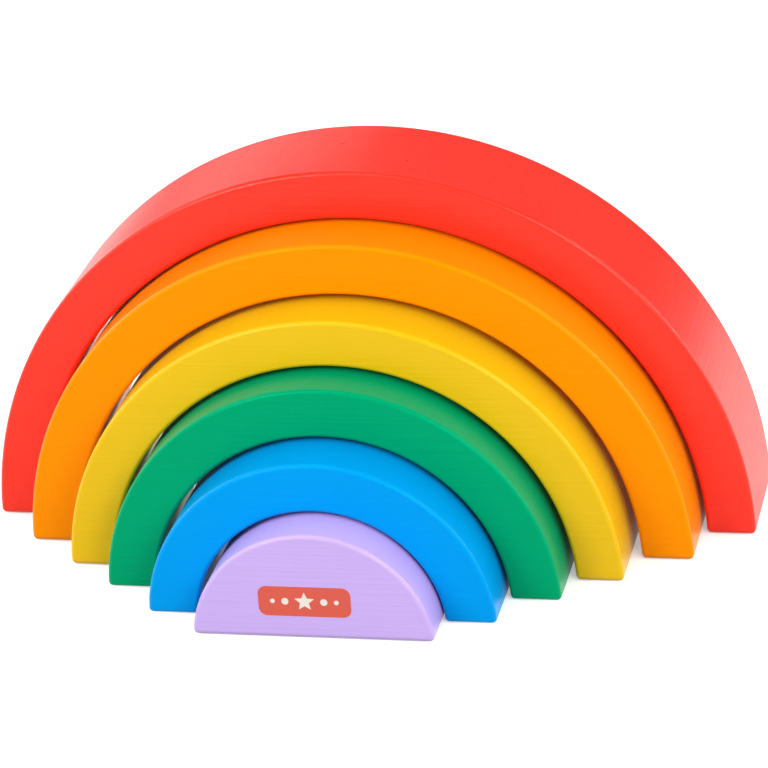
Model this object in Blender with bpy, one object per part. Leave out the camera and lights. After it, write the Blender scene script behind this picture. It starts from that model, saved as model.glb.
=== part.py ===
"""Nesting rainbow arches: five wooden arches and a half-round core, stood in a stepped row.

Metres, +Z up and +X to the right. Each block stands a step nearer the front (-Y) than the one
it fits under. The origin is on the floor, under the middle of the whole row.
"""

from collections import namedtuple
from math import atan2, cos, pi, sin, sqrt

import bpy

# Overall sizes.
OUTER_RADIUS = 0.140      # outside of the largest arch
BLOCK_DEPTH = 0.048       # front to back, the same for every block
FOOT_TRIM = 0.0035        # each ring is sawn this far above its centre, so an arch is under half
EDGE_RADIUS = 0.0022      # round-over along the front and back edges
FOOT_EXTRA = 0.0003       # the feet's corners are rounded this much more than the edges
FOOT_RADIUS = EDGE_RADIUS + FOOT_EXTRA    # rounded corners of the feet, seen from the front

# One row per block, from the outside in, in metres:
#   wall       thickness of the arch, None for the solid core
#   clearance  radial gap to the block outside it
#   step       how far its front face stands ahead of the front of the block outside it
#   shift      where its middle stands, sideways from the middle of the largest arch
#   paint      colour, as 8-bit sRGB
Block = namedtuple("Block", "name wall clearance step shift paint")
BLOCKS = (
    Block("red_arch", 0.0175, 0.0, 0.0, 0.0, (236, 48, 38)),
    Block("orange_arch", 0.0185, 0.0013, 0.0215, -0.0005, (250, 138, 0)),
    Block("yellow_arch", 0.0169, 0.0024, 0.0181, -0.0017, (244, 194, 12)),
    Block("green_arch", 0.0179, 0.0019, 0.0154, -0.0025, (0, 160, 108)),
    Block("blue_arch", 0.0180, 0.0016, 0.0184, -0.0024, (0, 148, 232)),
    Block("purple_core", None, 0.0013, 0.0152, -0.0018, (190, 166, 236)),
)

# Fineness of the faceted outlines.
STEPS_PER_QUARTER = 22    # chords along a quarter of an arch
STEPS_PER_FOOT = 3        # chords round one corner of a foot
EDGE_ROWS = 1             # extra rows of faces in the round-over

PAINT_ROUGHNESS = 0.35


def arc(centre, radius, start, end, steps):
    """Points along an arc of a circle in the front view, both ends included."""
    turn = (end - start) / steps
    angles = [start + turn * index for index in range(steps + 1)]
    return [(centre[0] + radius * cos(a), centre[1] + radius * sin(a)) for a in angles]


def foot_corner(radius, side):
    """Centre and lean of the fillet where an arch face of this radius meets the floor.

    side is -1 for the outer face, whose fillet lies inside the circle, and +1 for the inner face.
    """
    reach = radius + side * FOOT_RADIUS
    height = FOOT_RADIUS + FOOT_TRIM
    centre = (sqrt(reach ** 2 - height ** 2), FOOT_RADIUS)
    return centre, atan2(height, centre[0])


def outline(outer, inner):
    """Front view of a block, from the top of its outer face down one side and up the other."""
    ring_centre = (0.0, -FOOT_TRIM)
    corner, lean = foot_corner(outer, -1)
    half = arc(ring_centre, outer, pi / 2, lean, STEPS_PER_QUARTER)
    half += arc(corner, FOOT_RADIUS, lean, -pi / 2, STEPS_PER_FOOT)[1:]
    if inner:
        corner, lean = foot_corner(inner, 1)
        half += arc(corner, FOOT_RADIUS, -pi / 2, lean - pi, STEPS_PER_FOOT)
        half += arc(ring_centre, inner, lean, pi / 2, STEPS_PER_QUARTER)[1:]
    mirrored = [(-x, z) for x, z in reversed(half)]
    on_middle = 1 if inner else 0
    return half + mirrored[on_middle:-1]


def painted(name, colour):
    """Satin paint over wood."""
    material = bpy.data.materials.new(name)
    material.use_nodes = True
    linear = [((c / 255 + 0.055) / 1.055) ** 2.4 if c > 10 else c / 255 / 12.92 for c in colour]
    surface = material.node_tree.nodes["Principled BSDF"]
    surface.inputs["Base Color"].default_value = (*linear, 1.0)
    surface.inputs["Roughness"].default_value = PAINT_ROUGHNESS
    surface.inputs["Metallic"].default_value = 0.0
    material.diffuse_color = (*linear, 1.0)
    return material


def make_block(block, outer, inner, front, collection):
    """One block, with its origin on the floor at its own middle."""
    points = outline(outer, inner)
    curve = bpy.data.curves.new(block.name, "CURVE")
    curve.dimensions = "2D"
    curve.fill_mode = "BOTH"
    curve.extrude = BLOCK_DEPTH / 2 - EDGE_RADIUS
    curve.bevel_depth = EDGE_RADIUS
    curve.bevel_resolution = EDGE_ROWS
    curve.offset = -EDGE_RADIUS
    spline = curve.splines.new("POLY")
    spline.points.add(len(points) - 1)
    for point, (x, z) in zip(spline.points, points):
        point.co = (x, z, 0.0, 1.0)
    spline.use_cyclic_u = True
    curve.materials.append(painted(block.name + "_paint", block.paint))

    piece = bpy.data.objects.new(block.name, curve)
    piece.rotation_euler = (pi / 2, 0.0, 0.0)
    piece.location = (block.shift, front + BLOCK_DEPTH / 2, 0.0)
    collection.objects.link(piece)


def main():
    for old in list(bpy.data.objects):
        bpy.data.objects.remove(old)
    collection = bpy.data.collections.new("rainbow_arches")
    bpy.context.scene.collection.children.link(collection)

    row_length = BLOCK_DEPTH + sum(block.step for block in BLOCKS)
    front = row_length / 2 - BLOCK_DEPTH
    room = OUTER_RADIUS
    for block in BLOCKS:
        outer = room - block.clearance
        inner = outer - block.wall if block.wall else None
        front -= block.step
        make_block(block, outer, inner, front, collection)
        room = inner


main()
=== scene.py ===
"""Looks of the nesting rainbow: painted wooden arches and a half-round core with a printed badge.

Metres, in the frame of the CAD model: +Z up, +X to the right, the row steps towards -Y. Every
block is a fine copy of its CAD solid, turned as a half ring, sawn flat at its feet and painted.
"""

from collections import namedtuple
from math import asin, pi, radians

import bmesh
import bpy
from mathutils import Matrix, Vector


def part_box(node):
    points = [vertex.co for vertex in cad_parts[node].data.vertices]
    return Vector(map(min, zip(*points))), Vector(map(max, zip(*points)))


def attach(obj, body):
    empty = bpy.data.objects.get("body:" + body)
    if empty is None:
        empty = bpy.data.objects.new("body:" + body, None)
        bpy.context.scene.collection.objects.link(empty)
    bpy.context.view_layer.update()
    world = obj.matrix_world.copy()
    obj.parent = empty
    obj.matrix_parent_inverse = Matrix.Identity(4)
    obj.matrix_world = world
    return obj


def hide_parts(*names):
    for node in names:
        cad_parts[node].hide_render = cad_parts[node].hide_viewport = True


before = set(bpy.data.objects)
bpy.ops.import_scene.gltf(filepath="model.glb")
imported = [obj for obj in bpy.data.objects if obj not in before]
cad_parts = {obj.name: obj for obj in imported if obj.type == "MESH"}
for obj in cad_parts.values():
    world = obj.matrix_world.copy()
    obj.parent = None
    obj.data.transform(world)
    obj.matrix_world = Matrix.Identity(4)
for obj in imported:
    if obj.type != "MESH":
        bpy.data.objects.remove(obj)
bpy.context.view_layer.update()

# ---------------------------------------------------------------- sizes of the blocks

FOOT_TRIM = 0.0035        # the rings' centre is this far below the floor
EDGE_RADIUS = 0.0016      # round-over along the front and back edges

# One row per block: wall thickness (None for the solid core), how much the rim of its feet is
# sanded round, its paint, how glossy that is, and the tint it gives to a reflection seen face on.
Block = namedtuple("Block", "name wall foot_rim paint gloss tint")
BLOCKS = (
    Block("red_arch", 0.0175, 0.0020, (0.92, 0.027, 0.014), 0.36, (1.0, 0.88, 0.72)),
    Block("orange_arch", 0.0185, 0.0021, (0.89, 0.255, 0.0), 0.30, (1.0, 0.60, 0.10)),
    Block("yellow_arch", 0.0169, 0.0021, (0.76, 0.460, 0.004), 0.40, (1.0, 0.85, 0.40)),
    Block("green_arch", 0.0179, 0.0014, (0.0, 0.320, 0.126), 0.20, (0.05, 1.0, 0.75)),
    Block("blue_arch", 0.0180, 0.0014, (0.0, 0.300, 0.745), 0.20, (0.10, 0.80, 1.0)),
    Block("purple_core", None, 0.0019, (0.53, 0.380, 0.775), 0.35, (1.0, 0.90, 0.92)),
)

# Fineness of the turned surfaces.
TURN_STEPS = 144          # rows along half a turn
EDGE_STEPS = 6            # rows in a rounded edge
FOOT_STEPS = 5            # rows round the rim of a foot
RIM_CLEARANCE = 1.6       # the sweep's end rows stay this many rim radii above the floor
FLAT_ANGLE = 0.2          # degrees, under which neighbouring faces are one flat face
MERGE_DISTANCE = 1e-6
ON_FLOOR = 1e-7           # a height that counts as on the floor

# ---------------------------------------------------------------- sizes of the printed badge

BADGE_WIDTH = 0.0324
BADGE_HEIGHT = 0.0112
BADGE_CORNER = 0.0030
BADGE_CORNER_STEPS = 10
BADGE_SIDE = -0.0019      # its middle, a little left of the core's
BADGE_UP = 0.0142         # its middle above the floor
INK_THICKNESS = 0.00006
INK_ROOTED = 0.00005      # how far a print reaches into what it is printed on

STAR_RADIUS = 0.0036
STAR_CORNERS = 10         # five points and five waists
STAR_WAIST = 0.45         # the waists' reach, as a share of the points'
DOTS = ((0.0068, 0.00125), (0.0112, 0.00085))    # reach from the middle and radius, each side
DOT_CORNERS = 28

CORAL = (0.62, 0.088, 0.056)
CREAM = (0.76, 0.70, 0.62)

# ---------------------------------------------------------------- grain, paint and ink

# Cycles of the grain per metre, along the fibres, across the board and through the board.
LAYER_CYCLES = (9.0, 22.0, 840.0)
FIBRE_CYCLES = (110.0, 1100.0, 1500.0)
PORE_CYCLES = (160.0, 700.0, 700.0)
MOTTLE_CYCLES = 38.0      # the same in every direction
SPECK_CYCLES = 60.0

# Relief of a finish, as rows of the grain's output, bump strength and height in metres.
PAINT_RELIEF = (
    ("Layers", 0.50, 0.00024),
    ("Fibre", 0.35, 0.00008),
    ("Pores", 0.07, 0.00004),
    ("Specks", 0.10, 0.00006),
)
INK_RELIEF = (
    ("Fibre", 0.15, 0.00004),
    ("Pores", 0.12, 0.00003),
)

THIN_COAT = 0.955         # brightness of the paint where its coat is thin and where it is thick
THICK_COAT = 1.045
LATE_WOOD = 0.97          # and over the denser growth layers
THIN_INK = 0.93
THICK_INK = 1.06

# Each block is cut from another place in the board.
SEED_STEP = 0.37
PATCH_SEED = 2.1
MARKS_SEED = 3.3

# ---------------------------------------------------------------- camera, light and table

LENS = 179.7              # millimetres, on a sensor of
SENSOR = 36.0
CAMERA_PLACE = (0.2968, -1.1940, 0.6098)
CAMERA_TURN = 13.344      # degrees to the right of straight ahead
CAMERA_DROP = 23.93       # degrees that it looks down
CAMERA_TILT = -4.27

# Brightness of the room and of the table, where 1 is plain white.
ROOM_LIGHT = 0.12
TABLE_WHITE = 0.90
TABLE_GLOW = 0.38
TABLE_BOUNCE = 0.38

TABLE_RADIUS = 0.9
TABLE_CORNERS = 96
TABLE_DROP = 0.0002       # keeps the table's top clear of the blocks' feet

SoftBox = namedtuple("SoftBox", "name place width height power")
SOFT_BOX_AIM = (0.0, 0.0, 0.06)
SOFT_BOXES = (
    SoftBox("front_left_box", (-0.60, -0.85, 0.70), 0.50, 0.50, 8.6),
    SoftBox("front_right_box", (0.65, -0.90, 0.70), 0.50, 0.50, 7.8),
    SoftBox("top_box", (-0.12, -0.35, 0.95), 0.40, 0.40, 1.3),
    SoftBox("right_box", (1.00, 0.0, 0.55), 1.20, 1.10, 9.8),
    SoftBox("left_box", (-1.00, 0.0, 0.55), 1.20, 1.10, 7.0),
    SoftBox("back_top_box", (0.0, 0.90, 0.90), 0.80, 0.50, 0.7),
    SoftBox("back_left_box", (-0.63, 1.33, 0.35), 0.70, 0.50, 0.9),
    SoftBox("rear_right_box", (1.00, 0.72, 0.30), 0.50, 0.40, 3.0),
    SoftBox("rear_left_box", (-1.00, 0.72, 0.30), 0.50, 0.40, 3.0),
    SoftBox("back_low_box", (0.0, 1.25, 0.14), 0.60, 0.24, 0.7),
)


def add_camera():
    """Looks at the row from the front right and above, tilted a little, through a long lens."""
    data = bpy.data.cameras.new("camera")
    data.lens = LENS
    data.sensor_width = SENSOR
    camera = bpy.data.objects.new("camera", data)
    turn = Matrix.Rotation(radians(CAMERA_TURN), 4, "Z")
    tip = Matrix.Rotation(radians(90.0 - CAMERA_DROP), 4, "X")
    tilt = Matrix.Rotation(radians(CAMERA_TILT), 4, "Z")
    camera.matrix_world = Matrix.Translation(CAMERA_PLACE) @ turn @ tip @ tilt
    bpy.context.scene.collection.objects.link(camera)
    bpy.context.scene.camera = camera


def add_soft_box(box, aim):
    """A rectangular area light that doesn't show in the picture itself."""
    data = bpy.data.lights.new(box.name, "AREA")
    data.shape = "RECTANGLE"
    data.size = box.width
    data.size_y = box.height
    data.energy = box.power
    lamp = bpy.data.objects.new(box.name, data)
    lamp.location = box.place
    lamp.rotation_euler = (aim - lamp.location).to_track_quat("-Z", "Y").to_euler()
    lamp.visible_camera = False
    bpy.context.scene.collection.objects.link(lamp)


def white_surroundings():
    """A dim even room for light and reflections, which looks plain white behind everything."""
    world = bpy.data.worlds.new("studio")
    world.use_nodes = True
    tree = world.node_tree
    room = tree.nodes["Background"]
    room.inputs["Color"].default_value = (1.0, 1.0, 1.0, 1.0)
    room.inputs["Strength"].default_value = ROOM_LIGHT
    backdrop = tree.nodes.new("ShaderNodeBackground")
    backdrop.inputs["Color"].default_value = (1.0, 1.0, 1.0, 1.0)
    backdrop.inputs["Strength"].default_value = 1.0
    seen = tree.nodes.new("ShaderNodeLightPath")
    choice = tree.nodes.new("ShaderNodeMixShader")
    tree.links.new(seen.outputs["Is Camera Ray"], choice.inputs["Fac"])
    tree.links.new(room.outputs["Background"], choice.inputs[1])
    tree.links.new(backdrop.outputs["Background"], choice.inputs[2])
    tree.links.new(choice.outputs["Shader"], tree.nodes["World Output"].inputs["Surface"])
    bpy.context.scene.world = world


def lit_table():
    """A white acrylic table lit from inside, which swallows shadows. The blocks get light from
    it only as from a plain matt board, so their feet still darken towards it."""
    material = bpy.data.materials.new("lit_white_table")
    material.use_nodes = True
    tree = material.node_tree
    surface = tree.nodes["Principled BSDF"]
    surface.inputs["Base Color"].default_value = (TABLE_WHITE, TABLE_WHITE, TABLE_WHITE, 1.0)
    surface.inputs["Roughness"].default_value = 0.9
    surface.inputs["Emission Color"].default_value = (1.0, 1.0, 1.0, 1.0)
    surface.inputs["Emission Strength"].default_value = TABLE_GLOW
    board = tree.nodes.new("ShaderNodeBsdfDiffuse")
    board.inputs["Color"].default_value = (TABLE_BOUNCE, TABLE_BOUNCE, TABLE_BOUNCE, 1.0)
    seen = tree.nodes.new("ShaderNodeLightPath")
    choice = tree.nodes.new("ShaderNodeMixShader")
    tree.links.new(seen.outputs["Is Diffuse Ray"], choice.inputs["Fac"])
    tree.links.new(surface.outputs["BSDF"], choice.inputs[1])
    tree.links.new(board.outputs["BSDF"], choice.inputs[2])
    tree.links.new(choice.outputs["Shader"], tree.nodes["Material Output"].inputs["Surface"])
    return material


def add_studio():
    """A round white table in a white room, under soft boxes."""
    white_surroundings()
    bpy.context.scene.view_settings.view_transform = "Standard"
    for box in SOFT_BOXES:
        add_soft_box(box, Vector(SOFT_BOX_AIM))

    table_mesh = bpy.data.meshes.new("floor")
    shape = bmesh.new()
    bmesh.ops.create_circle(shape, cap_ends=True, segments=TABLE_CORNERS, radius=TABLE_RADIUS)
    bmesh.ops.translate(shape, vec=(0.0, 0.0, -TABLE_DROP), verts=list(shape.verts))
    shape.to_mesh(table_mesh)
    shape.free()
    table = bpy.data.objects.new("floor", table_mesh)
    bpy.context.scene.collection.objects.link(table)
    table_mesh.materials.append(lit_table())


# ---------------------------------------------------------------- shader building blocks

def add_node(tree, kind, **inputs):
    """A shader node; values are set by socket name with spaces written as underscores."""
    node = tree.nodes.new(kind)
    for name, value in inputs.items():
        node.inputs[name.replace("_", " ")].default_value = value
    return node


def stretched(tree, place, cycles):
    """A place scaled apart along X, Y and Z, to cycles per metre."""
    scaled = tree.nodes.new("ShaderNodeVectorMath")
    scaled.operation = "MULTIPLY"
    scaled.inputs[1].default_value = cycles
    tree.links.new(place, scaled.inputs[0])
    return scaled.outputs["Vector"]


def wood_grain_group():
    """Wood grain that shows through paint, in a board whose fibres run along X and whose growth
    layers lie flat, so they make level lines on a front and lines along Y on a side.

    Layers is the growth layers, Fibre is short fine dashes, Pores is small pits, Mottle is a
    slow unevenness of the coat, and Specks is a few dust nibs under it.
    """
    group = bpy.data.node_groups.new("Wood grain under paint", "ShaderNodeTree")
    seed = group.interface.new_socket("Seed", in_out="INPUT", socket_type="NodeSocketFloat")
    seed.default_value = 0.0
    for name in ("Layers", "Fibre", "Pores", "Mottle", "Specks"):
        group.interface.new_socket(name, in_out="OUTPUT", socket_type="NodeSocketFloat")
    start = group.nodes.new("NodeGroupInput")
    end = group.nodes.new("NodeGroupOutput")
    place = group.nodes.new("ShaderNodeTexCoord")
    board = group.nodes.new("ShaderNodeVectorMath")
    board.operation = "ADD"
    group.links.new(place.outputs["Object"], board.inputs[0])
    group.links.new(start.outputs["Seed"], board.inputs[1])
    board_place = board.outputs["Vector"]

    layers = add_node(group, "ShaderNodeTexNoise", Scale=1.0, Detail=2.0, Roughness=0.55,
                      Distortion=0.15)
    group.links.new(stretched(group, board_place, LAYER_CYCLES), layers.inputs["Vector"])
    group.links.new(layers.outputs["Fac"], end.inputs["Layers"])

    fibre = add_node(group, "ShaderNodeTexNoise", Scale=1.0, Detail=3.0, Roughness=0.6)
    group.links.new(stretched(group, board_place, FIBRE_CYCLES), fibre.inputs["Vector"])
    group.links.new(fibre.outputs["Fac"], end.inputs["Fibre"])

    pit = add_node(group, "ShaderNodeTexVoronoi", Scale=1.0, Randomness=1.0)
    group.links.new(stretched(group, board_place, PORE_CYCLES), pit.inputs["Vector"])
    pit_edge = add_node(group, "ShaderNodeMapRange", From_Min=0.05, From_Max=0.50)
    group.links.new(pit.outputs["Distance"], pit_edge.inputs["Value"])
    group.links.new(pit_edge.outputs["Result"], end.inputs["Pores"])

    mottle = add_node(group, "ShaderNodeTexNoise", Scale=MOTTLE_CYCLES, Detail=2.0, Roughness=0.5)
    group.links.new(board_place, mottle.inputs["Vector"])
    group.links.new(mottle.outputs["Fac"], end.inputs["Mottle"])

    nib = add_node(group, "ShaderNodeTexVoronoi", Scale=SPECK_CYCLES, Randomness=1.0)
    group.links.new(board_place, nib.inputs["Vector"])
    nib_size = add_node(group, "ShaderNodeMapRange", From_Min=0.075, From_Max=0.02)
    group.links.new(nib.outputs["Distance"], nib_size.inputs["Value"])
    group.links.new(nib_size.outputs["Result"], end.inputs["Specks"])
    return group


def place_grain(tree, grain, seed):
    """The grain group in a material, cut from its own place in the board."""
    wood = tree.nodes.new("ShaderNodeGroup")
    wood.node_tree = grain
    wood.inputs["Seed"].default_value = seed
    return wood


def add_relief(tree, wood, relief):
    """Bump nodes one after another, from (output of the grain, strength, height) rows."""
    normal = None
    for name, strength, height in relief:
        bump = add_node(tree, "ShaderNodeBump", Strength=strength, Distance=height)
        tree.links.new(wood.outputs[name], bump.inputs["Height"])
        if normal:
            tree.links.new(normal, bump.inputs["Normal"])
        normal = bump.outputs["Normal"]
    return normal


def shaded(colour, brightness):
    """A colour made darker or lighter, no brighter than white."""
    return [min(1.0, channel * brightness) for channel in colour]


def mixed_colour(tree, factor, first, second):
    """A colour between two, by a mask."""
    mix = tree.nodes.new("ShaderNodeMix")
    mix.data_type = "RGBA"
    mix.inputs["A"].default_value = (*first, 1.0)
    mix.inputs["B"].default_value = (*second, 1.0)
    tree.links.new(factor, mix.inputs["Factor"])
    return mix


def painted_wood(name, block, grain, seed):
    """Satin paint on sanded wood: an even colour over faint growth layers and fibres."""
    material = bpy.data.materials.new(name)
    material.use_nodes = True
    tree = material.node_tree
    surface = tree.nodes["Principled BSDF"]
    surface.inputs["IOR"].default_value = 1.5
    surface.inputs["Specular IOR Level"].default_value = block.gloss
    surface.inputs["Specular Tint"].default_value = (*block.tint, 1.0)
    wood = place_grain(tree, grain, seed)

    coat = mixed_colour(tree, wood.outputs["Mottle"], shaded(block.paint, THIN_COAT),
                        shaded(block.paint, THICK_COAT))
    layer_edge = add_node(tree, "ShaderNodeMapRange", From_Min=0.35, From_Max=0.65, To_Min=0.0,
                          To_Max=0.5)
    tree.links.new(wood.outputs["Layers"], layer_edge.inputs["Value"])
    stained = mixed_colour(tree, layer_edge.outputs["Result"], block.paint,
                           shaded(block.paint, LATE_WOOD))
    tree.links.new(coat.outputs["Result"], stained.inputs["A"])
    tree.links.new(stained.outputs["Result"], surface.inputs["Base Color"])

    satin = add_node(tree, "ShaderNodeMapRange", From_Min=0.3, From_Max=0.7, To_Min=0.27,
                     To_Max=0.35)
    tree.links.new(wood.outputs["Fibre"], satin.inputs["Value"])
    tree.links.new(satin.outputs["Result"], surface.inputs["Roughness"])
    tree.links.new(add_relief(tree, wood, PAINT_RELIEF), surface.inputs["Normal"])
    return material


def screen_ink(name, colour, grain, seed):
    """Matt screen-printing ink, a little uneven where it lies over the grain."""
    material = bpy.data.materials.new(name)
    material.use_nodes = True
    tree = material.node_tree
    surface = tree.nodes["Principled BSDF"]
    surface.inputs["Specular IOR Level"].default_value = 0.35
    wood = place_grain(tree, grain, seed)

    coat = mixed_colour(tree, wood.outputs["Fibre"], shaded(colour, THIN_INK),
                        shaded(colour, THICK_INK))
    tree.links.new(coat.outputs["Result"], surface.inputs["Base Color"])

    matt = add_node(tree, "ShaderNodeMapRange", To_Min=0.42, To_Max=0.56)
    tree.links.new(wood.outputs["Mottle"], matt.inputs["Value"])
    tree.links.new(matt.outputs["Result"], surface.inputs["Roughness"])
    tree.links.new(add_relief(tree, wood, INK_RELIEF), surface.inputs["Normal"])
    return material


# ---------------------------------------------------------------- blocks

def soften(shape, edges_or_verts, radius, steps, affect):
    """Rounds edges, or the corners of a flat face, to a true radius."""
    bmesh.ops.bevel(
        shape, geom=edges_or_verts, offset=radius, offset_type="OFFSET", segments=steps,
        profile=0.5, affect=affect, clamp_overlap=False, material=-1,
    )


def section_corners(shape, inner, outer, depth):
    """The four corners of a section at +X, level with the rings' centre, front inner one first."""
    front = -depth / 2
    back = depth / 2
    corners = [
        shape.verts.new((x, y, -FOOT_TRIM))
        for x, y in ((inner, front), (outer, front), (outer, back), (inner, back))
    ]
    shape.faces.new(corners)
    return corners


def wall_section(shape, inner, outer, depth):
    """Edges of the section through a wall, a rectangle with rounded corners."""
    corners = section_corners(shape, inner, outer, depth)
    soften(shape, corners, EDGE_RADIUS, EDGE_STEPS, "VERTICES")
    bmesh.ops.delete(shape, geom=list(shape.faces), context="FACES_ONLY")
    return list(shape.verts) + list(shape.edges)


def core_section(shape, outer, depth):
    """Edges from the middle of the front face out round the rim to the middle of the back."""
    corners = section_corners(shape, 0.0, outer, depth)
    soften(shape, corners[1:3], EDGE_RADIUS, EDGE_STEPS, "VERTICES")
    bmesh.ops.delete(shape, geom=list(shape.faces), context="FACES_ONLY")
    spine = [e for e in shape.edges if all(abs(v.co.x) < EDGE_RADIUS / 2 for v in e.verts)]
    bmesh.ops.delete(shape, geom=spine, context="EDGES")
    return list(shape.verts) + list(shape.edges)


def turned_block(shape, section, inner, foot_rim):
    """Turns the section over from the right foot to the left, saws both feet flat and sands
    their rims. The first and last rows end clear above the rim."""
    centre = Vector((0.0, 0.0, -FOOT_TRIM))
    clear = asin((FOOT_TRIM + RIM_CLEARANCE * foot_rim) / inner)
    for angle, rows in ((clear, 1), (pi - 2 * clear, TURN_STEPS), (clear, 1)):
        swept = bmesh.ops.spin(
            shape, geom=section, cent=centre, axis=(0.0, -1.0, 0.0), angle=angle, steps=rows,
            use_merge=False,
        )
        section = swept["geom_last"]
    bmesh.ops.remove_doubles(shape, verts=list(shape.verts), dist=MERGE_DISTANCE)
    everything = list(shape.verts) + list(shape.edges) + list(shape.faces)
    bmesh.ops.bisect_plane(
        shape, geom=everything, plane_co=(0, 0, 0), plane_no=(0, 0, 1), clear_inner=True,
    )
    bmesh.ops.dissolve_limit(
        shape, angle_limit=radians(FLAT_ANGLE), verts=list(shape.verts), edges=list(shape.edges),
    )
    open_edges = [e for e in shape.edges if e.is_boundary]
    bmesh.ops.holes_fill(shape, edges=open_edges, sides=0)
    rim = [e for e in shape.edges if all(abs(v.co.z) < ON_FLOOR for v in e.verts)]
    soften(shape, rim, foot_rim, FOOT_STEPS, "EDGES")


def add_piece(name, shape, material, body):
    """Makes a finished piece of a shape, and ties it to its body and finish."""
    bmesh.ops.recalc_face_normals(shape, faces=list(shape.faces))
    mesh = bpy.data.meshes.new(name)
    shape.to_mesh(mesh)
    shape.free()
    mesh.materials.append(material)
    piece = bpy.data.objects.new(name, mesh)
    bpy.context.scene.collection.objects.link(piece)
    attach(piece, body)
    return piece


def make_block(block, material):
    """A block in the place of its CAD solid, whose sizes it takes from that solid's box."""
    low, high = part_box(block.name)
    depth = high.y - low.y
    outer = high.z + FOOT_TRIM
    shape = bmesh.new()
    if block.wall:
        inner = outer - block.wall
        section = wall_section(shape, inner, outer, depth)
    else:
        inner = outer
        section = core_section(shape, outer, depth)
    turned_block(shape, section, inner, block.foot_rim)
    bmesh.ops.translate(shape, vec=((low.x + high.x) / 2, (low.y + high.y) / 2, 0.0),
                        verts=list(shape.verts))
    piece = add_piece(block.name + "_painted", shape, material, block.name)
    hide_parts(block.name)
    piece.data.shade_smooth()
    even = piece.modifiers.new("even_shading", "WEIGHTED_NORMAL")
    even.mode = "FACE_AREA"
    even.weight = 50


# ---------------------------------------------------------------- printed badge

def raise_print(shape, faces, thickness):
    """Gives flat faces that look along -Y the thickness of a layer of ink, towards -Y."""
    raised = bmesh.ops.extrude_face_region(shape, geom=faces)
    tops = [v for v in raised["geom"] if isinstance(v, bmesh.types.BMVert)]
    bmesh.ops.translate(shape, vec=(0.0, -thickness, 0.0), verts=tops)


def upright(shape, place):
    """Stands a shape drawn flat on the floor up to face -Y, with its middle at a place."""
    vertices = list(shape.verts)
    bmesh.ops.rotate(shape, verts=vertices, matrix=Matrix.Rotation(radians(90.0), 3, "X"))
    bmesh.ops.translate(shape, verts=vertices, vec=place)


def make_badge(grain):
    """A plain rounded patch with a star between dots, printed on the core's front."""
    low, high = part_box("purple_core")
    middle = Vector(((low.x + high.x) / 2 + BADGE_SIDE, low.y + INK_ROOTED, BADGE_UP))

    patch = bmesh.new()
    bmesh.ops.create_grid(patch, x_segments=1, y_segments=1, size=0.5)
    bmesh.ops.scale(patch, vec=(BADGE_WIDTH, BADGE_HEIGHT, 1.0), verts=list(patch.verts))
    soften(patch, list(patch.verts), BADGE_CORNER, BADGE_CORNER_STEPS, "VERTICES")
    upright(patch, middle)
    raise_print(patch, list(patch.faces), INK_THICKNESS + INK_ROOTED)
    add_piece("badge_patch", patch, screen_ink("coral_ink", CORAL, grain, PATCH_SEED),
              "purple_core")

    marks = bmesh.new()
    star = bmesh.ops.create_circle(marks, cap_ends=True, segments=STAR_CORNERS,
                                   radius=STAR_RADIUS)["verts"]
    bmesh.ops.scale(marks, verts=star[1::2], vec=(STAR_WAIST, STAR_WAIST, 1.0))
    for side in (-1, 1):
        for reach, radius in DOTS:
            dot = bmesh.ops.create_circle(marks, cap_ends=True, segments=DOT_CORNERS,
                                          radius=radius)
            bmesh.ops.translate(marks, verts=dot["verts"], vec=(side * reach, 0.0, 0.0))
    marks_root = INK_THICKNESS + INK_ROOTED / 2
    upright(marks, middle - Vector((0.0, marks_root, 0.0)))
    raise_print(marks, list(marks.faces), marks_root)
    add_piece("badge_marks", marks, screen_ink("cream_ink", CREAM, grain, MARKS_SEED),
              "purple_core")


add_camera()
add_studio()
grain_group = wood_grain_group()
for number, each in enumerate(BLOCKS):
    paint = painted_wood(each.name.split("_")[0] + "_satin_paint", each, grain_group,
                         SEED_STEP * number)
    make_block(each, paint)
make_badge(grain_group)
